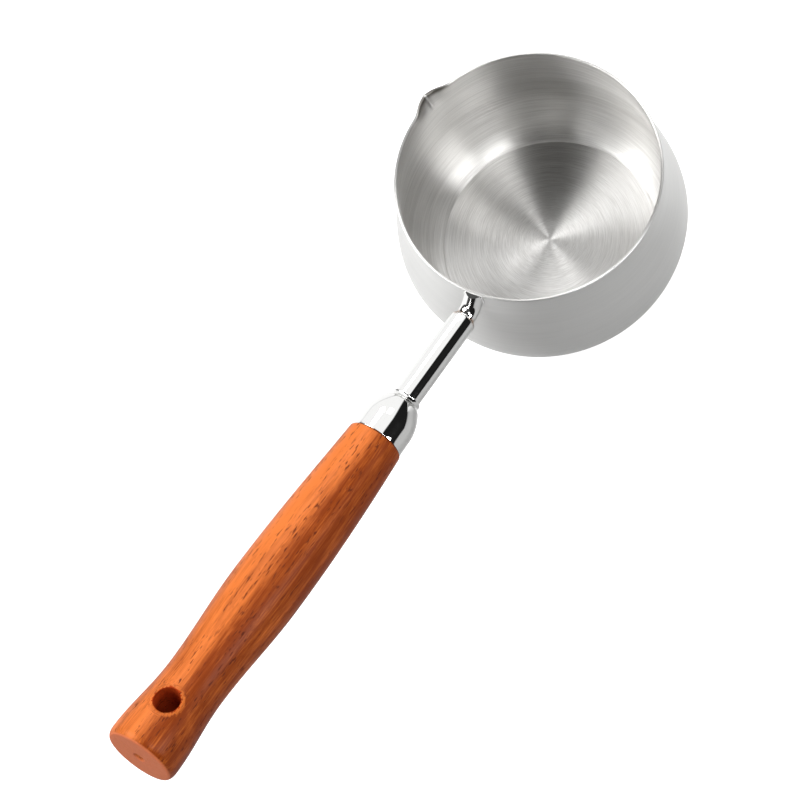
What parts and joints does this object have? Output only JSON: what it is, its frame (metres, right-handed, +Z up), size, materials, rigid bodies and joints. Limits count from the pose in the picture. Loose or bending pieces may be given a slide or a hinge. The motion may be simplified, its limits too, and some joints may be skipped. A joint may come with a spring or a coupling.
{
  "type": "hot oil pot",
  "caption": "Small round steel pot with a pressed pouring lip, carried by a bent rod, a polished tube and a bell ferrule on a turned wooden grip with a hanging hole.",
  "frame": {"origin": "on the pot's axis, at the underside of its base", "axes": "+Z up along the pot's axis; +X in plan along the handle, from the pot to the grip"},
  "size_m": [0.2835, 0.0988, 0.0905],
  "materials": {
    "brushed_steel": "satin, spun rings",
    "polished_steel": "mirror polish",
    "zinc_steel": "zinc plated",
    "brass": "turned",
    "rosewood": "oiled, satin"
  },
  "bodies": {
    "root": {"pot_body": "brushed_steel", "wall_weld": "polished_steel", "stem_rod": "polished_steel", "neck_weld": "polished_steel", "stem_tube": "polished_steel", "tube_plug": "zinc_steel", "ferrule": "polished_steel", "grip_washer": "zinc_steel", "tie_stud": "zinc_steel", "grip_insert": "brass", "wood_grip": "rosewood"}
  },
  "joints": []
}
